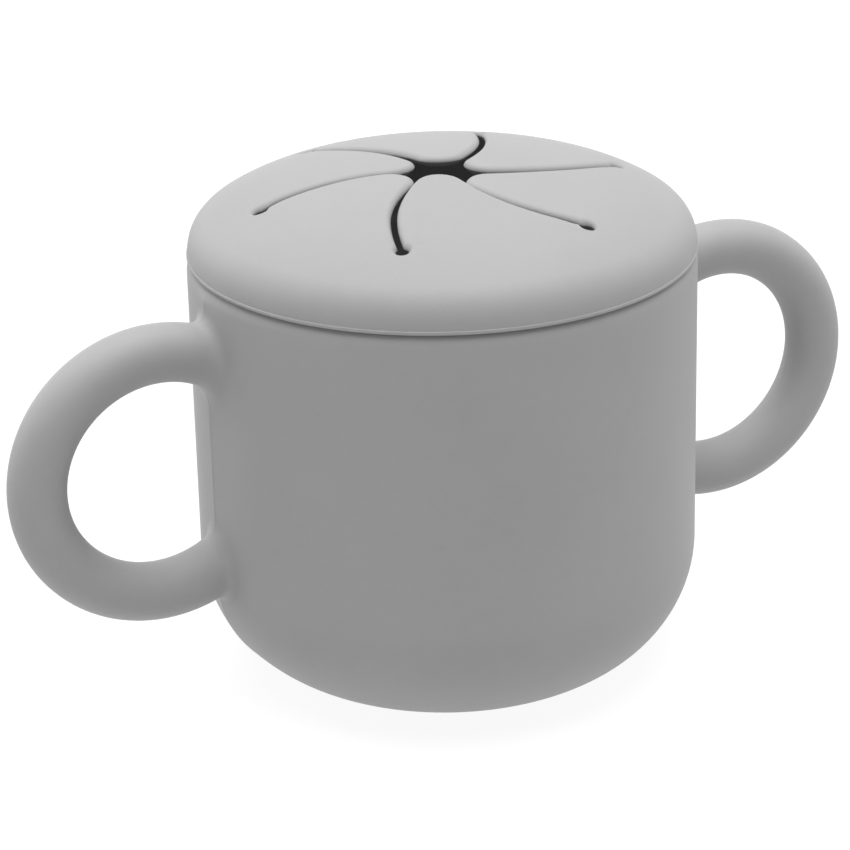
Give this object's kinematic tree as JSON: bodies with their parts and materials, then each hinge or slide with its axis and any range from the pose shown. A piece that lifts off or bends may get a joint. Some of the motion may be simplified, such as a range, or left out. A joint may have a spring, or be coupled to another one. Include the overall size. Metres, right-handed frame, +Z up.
{
  "type": "toddler snack container",
  "caption": "Soft silicone snack cup for a toddler: straight round cup with a ring handle on each side and a domed push-in lid whose middle opens as pinwheel flaps.",
  "frame": {"origin": "middle of the cup's flat base, on the surface that it stands on", "axes": "+Z up the cup's axis, +X towards the right-hand handle, +Y towards the back as the handles lie left and right"},
  "size_m": [0.151, 0.082, 0.084],
  "materials": {
    "cup_silicone": "matt food-grade silicone, fine satin mould texture",
    "lid_silicone": "matt food-grade silicone, fine satin mould texture"
  },
  "bodies": {
    "cup": {"cup": "cup_silicone", "handle_left": "cup_silicone", "handle_right": "cup_silicone"},
    "lid": {"lid_ring": "lid_silicone"},
    "flap_1": {"flap_1": "lid_silicone"},
    "flap_2": {"flap_2": "lid_silicone"},
    "flap_3": {"flap_3": "lid_silicone"},
    "flap_4": {"flap_4": "lid_silicone"},
    "flap_5": {"flap_5": "lid_silicone"},
    "flap_6": {"flap_6": "lid_silicone"}
  },
  "joints": [
    {"name": "lid_lift", "type": "slide", "parent": "cup", "child": "lid", "axis": [0, 0, 1], "range_m": [0, 0.06]},
    {"name": "flap_1_bend", "type": "hinge", "parent": "lid", "child": "flap_1", "pos_m": [-0.024, -0.00994, 0.08093], "axis": [-0.3827, 0.9239, 0], "range_deg": [-40, 60], "stiffness_Nm_per_rad": 0.01},
    {"name": "flap_2_bend", "type": "hinge", "parent": "lid", "child": "flap_2", "pos_m": [-0.00339, -0.02576, 0.08093], "axis": [-0.9914, 0.1305, 0], "range_deg": [-40, 60], "stiffness_Nm_per_rad": 0.01},
    {"name": "flap_3_bend", "type": "hinge", "parent": "lid", "child": "flap_3", "pos_m": [0.02061, -0.01582, 0.08093], "axis": [-0.6088, -0.7934, 0], "range_deg": [-40, 60], "stiffness_Nm_per_rad": 0.01},
    {"name": "flap_4_bend", "type": "hinge", "parent": "lid", "child": "flap_4", "pos_m": [0.024, 0.00994, 0.08093], "axis": [0.3827, -0.9239, 0], "range_deg": [-40, 60], "stiffness_Nm_per_rad": 0.01},
    {"name": "flap_5_bend", "type": "hinge", "parent": "lid", "child": "flap_5", "pos_m": [0.00339, 0.02576, 0.08093], "axis": [0.9914, -0.1305, 0], "range_deg": [-40, 60], "stiffness_Nm_per_rad": 0.01},
    {"name": "flap_6_bend", "type": "hinge", "parent": "lid", "child": "flap_6", "pos_m": [-0.02061, 0.01582, 0.08093], "axis": [0.6088, 0.7934, 0], "range_deg": [-40, 60], "stiffness_Nm_per_rad": 0.01}
  ]
}
